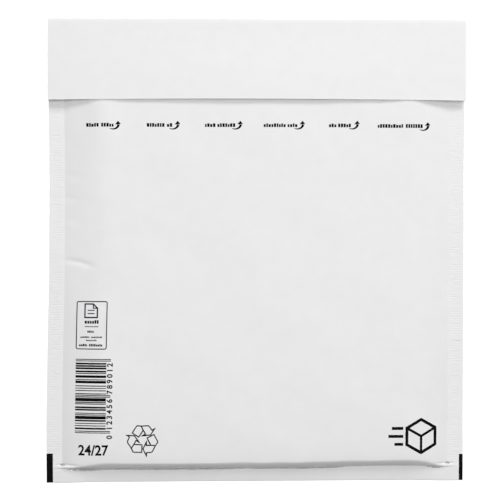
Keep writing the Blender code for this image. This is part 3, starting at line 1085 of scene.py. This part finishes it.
class EnvelopeNotePanel(bpy.types.Operator):
    """Prints the framed panel: a sheet with a folded corner, over lines of made-up words."""

    bl_idname = "envelope.note_panel"
    bl_label = "Note Panel"

    LEFT, RIGHT, LOW, HIGH = mm(-103.3, -85.9, -55.9, -28.8)
    LINE = 0.56 * MM
    CORNER = 1.0 * MM
    # Each word: its foot, its height, and where it starts and ends
    WORDS = (
        mm(-41.4, 2.0, -98.6, -90.6),
        mm(-43.4, 0.6, -98.6, -90.6),
        mm(-46.6, 1.2, -96.9, -92.8),
        mm(-49.6, 0.9, -101.0, -95.4),
        mm(-49.6, 0.9, -94.6, -88.3),
        mm(-51.4, 0.9, -97.6, -91.5),
        mm(-54.4, 1.4, -101.6, -97.0),
        mm(-54.4, 1.4, -95.8, -87.6),
    )
    # The sheet with a folded corner: its sides, its fold, its outline, the fold's line, and its two lines
    SHEET_LEFT, SHEET_RIGHT, SHEET_LOW, SHEET_HIGH, SHEET_FOLD = mm(-98.6, -91.4, -37.9, -30.2, 2.4)
    OUTLINE, FOLD_LINE = mm(0.75, 0.6)
    LINE_LEVELS, LINE_INSET, LINE_HEIGHT = mm(2.0, 3.8), 1.6 * MM, 0.55 * MM

    def border(self):
        """A rectangle with round corners, drawn as one closed line."""
        r = self.CORNER
        turns = (
            ((self.RIGHT - r, self.HIGH - r), 0),
            ((self.LEFT + r, self.HIGH - r), 90),
            ((self.LEFT + r, self.LOW + r), 180),
            ((self.RIGHT - r, self.LOW + r), 270),
        )
        path = np.concatenate([arc(middle, r, start, start + 90, 6) for middle, start in turns])
        return ribbon(spaced(np.concatenate([path, path[:1]])), self.LINE, closed=True)

    def icon(self):
        """A sheet of paper with one corner folded over and two lines across it."""
        left, right, low, high = self.SHEET_LEFT, self.SHEET_RIGHT, self.SHEET_LOW, self.SHEET_HIGH
        fold, inset = self.SHEET_FOLD, self.LINE_INSET
        start, end = (right, high - fold), (right - fold, high)
        outline = ((left, low), (right, low), start, end, (left, high), (left, low))
        shapes = [ribbon(spaced(outline), self.OUTLINE, closed=True)]
        shapes.append(ribbon((end, (right - fold, high - fold), start), self.FOLD_LINE))
        for level in self.LINE_LEVELS:
            foot = low + level
            shapes.append(plate(left + inset, foot, right - inset, foot + self.LINE_HEIGHT))
        return shapes

    def execute(self, context):
        draw = np.random.default_rng(17)
        shapes = [self.border(), *self.icon()]
        for foot, height, start, end in self.WORDS:
            shapes += [moved(part, (start, foot)) for part in word(draw, end - start, height)]
        printed("print_note_panel", shapes)
        return {"FINISHED"}


class EnvelopeBarCode(bpy.types.Operator):
    """Prints a thirteen-digit bar code that counts up from nought, turned to read from foot to flap."""

    bl_idname = "envelope.bar_code"
    bl_label = "Bar Code"

    DIGITS = "0123456789012"
    # The widths of the four stripes that stand for each digit, in modules
    STRIPES = ("3211", "2221", "2122", "1411", "1132", "1231", "1114", "1312", "1213", "3112")
    LEFT, RIGHT, GUARD = mm(-103.4, -85.6, -83.1)
    LOW, HIGH = mm(-104.0, -61.6)
    SPREAD = 0.06  # how far the ink spreads at most, in millimetres
    NUMERAL, BOLD = mm(3.2, 0.12)
    NUMERAL_FOOT = -82.1 * MM
    # In modules: where the first numeral stands, and the widths of a guard, a digit and the centre's extra
    FIRST, EDGE, DIGIT, CENTRE = -5.0, 3, 7, 4

    def stripes(self):
        """The widths of all bars and spaces in turn, first bar to last, and which of them are guards."""
        guard, centre = [(1, True)] * 3, [(1, True)] * 5
        halves = (self.DIGITS[1:7], self.DIGITS[7:])
        widths = ("".join(self.STRIPES[int(digit)] for digit in half) for half in halves)
        left, right = ([(int(width), False) for width in half] for half in widths)
        return guard + left + centre + right + guard

    def execute(self, context):
        runs = self.stripes()
        edges = np.cumsum([0, *(width for width, _ in runs)])
        module = (self.HIGH - self.LOW) / edges[-1]
        draw = np.random.default_rng(29)
        shapes = []
        for number, (width, is_guard) in enumerate(runs):
            if number % 2 == 0:
                low, high = self.LOW + edges[number] * module, self.LOW + edges[number + 1] * module
                spread = draw.uniform(0, self.SPREAD) * MM
                end = self.GUARD if is_guard else self.RIGHT
                shapes.append(plate(self.LEFT, low - spread, end, high + spread))
        for place, digit in enumerate(self.DIGITS):
            after_centre = self.CENTRE if place > 6 else 0
            along = self.EDGE + self.DIGIT * (place - 0.5) + after_centre if place else self.FIRST
            middle = (self.NUMERAL_FOOT, self.LOW + along * module)
            shapes.append(moved(numerals(digit, self.NUMERAL, self.BOLD), middle, 90))
        printed("print_bar_code", shapes)
        return {"FINISHED"}


class EnvelopeSizeNumerals(bpy.types.Operator):
    """Prints the size in bold numerals: the width and the length in centimetres."""

    bl_idname = "envelope.size_numerals"
    bl_label = "Size Numerals"

    LEFT, RIGHT, FOOT, CAP, BOLD = mm(-101.4, -84.1, -116.9, 6.2, 0.20)

    def execute(self, context):
        s = sizes()
        text = f"{s.width * 100:.0f}/{s.length * 100:.0f}"
        points, faces = numerals(text, self.CAP, self.BOLD)
        low, high = points.min(axis=0), points.max(axis=0)
        size, corner = (self.RIGHT - self.LEFT, self.CAP), (self.LEFT, self.FOOT)
        points = (points - low) / (high - low) * size + corner
        printed("print_size_numerals", [(points, faces)])
        return {"FINISHED"}


class EnvelopeRecyclingLoop(bpy.types.Operator):
    """Prints the common recycling loop in outline: one bent arrow, drawn three times round."""

    bl_idname = "envelope.recycling_loop"
    bl_label = "Recycling Loop"

    MIDDLE = mm(-64.6, -107.9)
    LINE = 0.64 * MM
    # The arrow's band with its head, and what shows of the band behind it, in millimetres from the middle
    FRONT = (
        (-0.86, 7.97), (3.16, 8.15), (3.99, 7.46), (5.27, 5.59), (6.91, 6.45),
        (4.44, 2.80), (-0.49, 2.34), (1.70, 3.35), (0.33, 5.54), (-0.86, 7.97),
    )
    BEHIND = ((0.33, 5.54), (-2.23, 1.70), (-5.89, 3.99), (-3.51, 7.92), (-2.96, 8.15), (-0.86, 7.97))

    def execute(self, context):
        front = ribbon(spaced(np.array(self.FRONT) * MM), self.LINE, closed=True)
        behind = ribbon(spaced(np.array(self.BEHIND) * MM), self.LINE)
        shapes = []
        for angle in (0, 120, 240):
            shapes += [moved(moved(part, (0, 0), angle), self.MIDDLE) for part in (front, behind)]
        printed("print_recycling_loop", shapes)
        return {"FINISHED"}


class EnvelopeParcelEmblem(bpy.types.Operator):
    """Prints a parcel in bold line, with three strokes beside it as if it were moving."""

    bl_idname = "envelope.parcel_emblem"
    bl_label = "Parcel Emblem"

    MIDDLE = mm(95.0, -106.6)
    RADIUS = 9.6 * MM
    LINE = 1.7 * MM
    INNER_LINE, INNER_REACH = 0.85, 0.93  # the inner edges' width and length, as shares of the outer ones'
    STROKES, STROKE_PITCH, STROKE_GAP = mm(6.5, 8.5, 5.0), 4.6 * MM, 0.8 * MM

    def execute(self, context):
        corner = arc((0, 0), self.RADIUS, 30, 390, 7)
        shapes = [ribbon(spaced(corner), self.LINE, closed=True)]
        for number in (0, 2, 4):
            edge = spaced([corner[number] * self.INNER_REACH, (0, 0)])
            shapes.append(ribbon(edge, self.LINE * self.INNER_LINE))
        shapes = [moved(shape, self.MIDDLE) for shape in shapes]
        right = self.MIDDLE[0] - self.RADIUS - self.STROKE_GAP
        for row, reach in enumerate(self.STROKES):
            level = self.MIDDLE[1] + (1 - row) * self.STROKE_PITCH
            shapes.append(plate(right - reach, level - self.LINE / 2, right, level + self.LINE / 2))
        printed("print_parcel_emblem", shapes)
        return {"FINISHED"}


class EnvelopeRegisterMarks(bpy.types.Operator):
    """Prints the black register marks on the two bottom corners, where the sheet is cut apart."""

    bl_idname = "envelope.register_marks"
    bl_label = "Register Marks"

    MARKS = ((-1, *mm(-116.2, 3.6)), (1, *mm(-117.7, 2.2)))  # side, top and width of each
    INSET = 0.05 * MM

    def execute(self, context):
        envelope = the_envelope()
        rows = front_rows(envelope)
        shapes = []
        for side, top, width in self.MARKS:
            outer = side * (envelope.half - self.INSET)
            across = np.linspace(outer, outer - side * width, 6)
            x, y = np.meshgrid(np.sort(across), np.concatenate([[top], rows[rows < top]]))
            shapes.append((np.stack([x, y], axis=-1).reshape(-1, 2), grid_faces(*x.shape).tolist()))
        printed("print_register_marks", shapes)
        return {"FINISHED"}


# The studio


def area_light(name, at, size, power):
    """A square light that points at the origin."""
    data = bpy.data.lights.new(name, "AREA")
    data.shape, data.size, data.energy = "SQUARE", size, power
    lamp = bpy.data.objects.new(name, data)
    lamp.location = at
    lamp.rotation_euler = (-Vector(at)).to_track_quat("-Z", "Y").to_euler()
    bpy.context.scene.collection.objects.link(lamp)


class EnvelopeStudio(bpy.types.Operator):
    """Sets up the floor, the lights and the camera, which looks almost straight down."""

    bl_idname = "envelope.studio"
    bl_label = "Studio"

    FLOOR_HALF = 3.0
    FLOOR_DROP = 0.3 * MM
    AIM_HEIGHT = 5 * MM
    KEY_FROM = (0.47, 1.27, 1.11)
    KEY_SIZE = 0.62
    FILL_FROM = (0.05, 0.12, 1.7)
    FILL_SIZE = 0.9

    def execute(self, context):
        look = context.scene.studio
        side, level = self.FLOOR_HALF, -self.FLOOR_DROP
        corners = [(-side, side, level), (-side, -side, level), (side, -side, level), (side, side, level)]
        mesh_object("studio_floor", np.array(corners), [[0, 1, 2, 3]], plain_floor())
        area_light("key", self.KEY_FROM, self.KEY_SIZE, look.key)
        area_light("fill", self.FILL_FROM, self.FILL_SIZE, look.fill)
        self.light_room(context, look)
        self.aim_camera(context, look)
        return {"FINISHED"}

    def light_room(self, context, look):
        """The room lights the envelope dimly, and the camera sees it as white as the floor."""
        world = bpy.data.worlds.new("room")
        world.use_nodes = True
        background = world.node_tree.nodes["Background"]
        background.inputs["Color"].default_value = (1, 1, 1, 1)
        seen = world.node_tree.nodes.new("ShaderNodeLightPath").outputs["Is Camera Ray"]
        strength = ranged(world.node_tree, seen, look.room, look.floor_glow)
        world.node_tree.links.new(strength, background.inputs["Strength"])
        context.scene.world = world
        context.scene.view_settings.view_transform = "Standard"

    def aim_camera(self, context, look):
        """The camera, as high above the floor as it is set to be, in line with the point it aims at."""
        data = bpy.data.cameras.new("camera")
        data.lens, data.clip_start, data.clip_end = look.lens, 0.05, 20
        camera = bpy.data.objects.new("camera", data)
        camera.rotation_euler = Euler((look.pitch, look.yaw, 0))
        sight = camera.rotation_euler.to_matrix() @ Vector((0, 0, -1))
        aim = Vector((look.aim_x, look.aim_y, self.AIM_HEIGHT))
        camera.location = aim - sight / abs(sight.z) * look.camera_height
        context.scene.collection.objects.link(camera)
        context.scene.camera = camera


GROUPS = (
    ("envelope_sizes", EnvelopeSizes),
    ("seal_sizes", SealSizes),
    ("bubble_sizes", BubbleSizes),
    ("finishes", Finishes),
    ("studio", Studio),
)
OPERATORS = (
    EnvelopeOuterPaper,
    EnvelopeBubbleLining,
    EnvelopeClosingStrips,
    EnvelopeOpeningHints,
    EnvelopeNotePanel,
    EnvelopeBarCode,
    EnvelopeSizeNumerals,
    EnvelopeRecyclingLoop,
    EnvelopeParcelEmblem,
    EnvelopeRegisterMarks,
    EnvelopeStudio,
)


class EnvelopePanel(bpy.types.Panel):
    """The envelope's sizes and colours, and a button for each of its pieces."""

    bl_idname = "VIEW3D_PT_envelope"
    bl_label = "Padded Envelope"
    bl_space_type = "VIEW_3D"
    bl_region_type = "UI"
    bl_category = "Envelope"

    def draw(self, context):
        for name, group in GROUPS:
            box = self.layout.box()
            box.label(text=group.__doc__)
            for key in group.__annotations__:
                box.prop(getattr(context.scene, name), key)
        for operator in OPERATORS:
            self.layout.operator(operator.bl_idname)


def register():
    for name, group in GROUPS:
        bpy.utils.register_class(group)
        setattr(bpy.types.Scene, name, PointerProperty(type=group))
    for part in (*OPERATORS, EnvelopePanel):
        bpy.utils.register_class(part)


def unregister():
    for part in (EnvelopePanel, *reversed(OPERATORS)):
        bpy.utils.unregister_class(part)
    for name, group in reversed(GROUPS):
        delattr(bpy.types.Scene, name)
        bpy.utils.unregister_class(group)


def main():
    register()
    for operator in OPERATORS:
        family, name = operator.bl_idname.split(".")
        getattr(getattr(bpy.ops, family), name)()


if __name__ == "__main__":
    main()
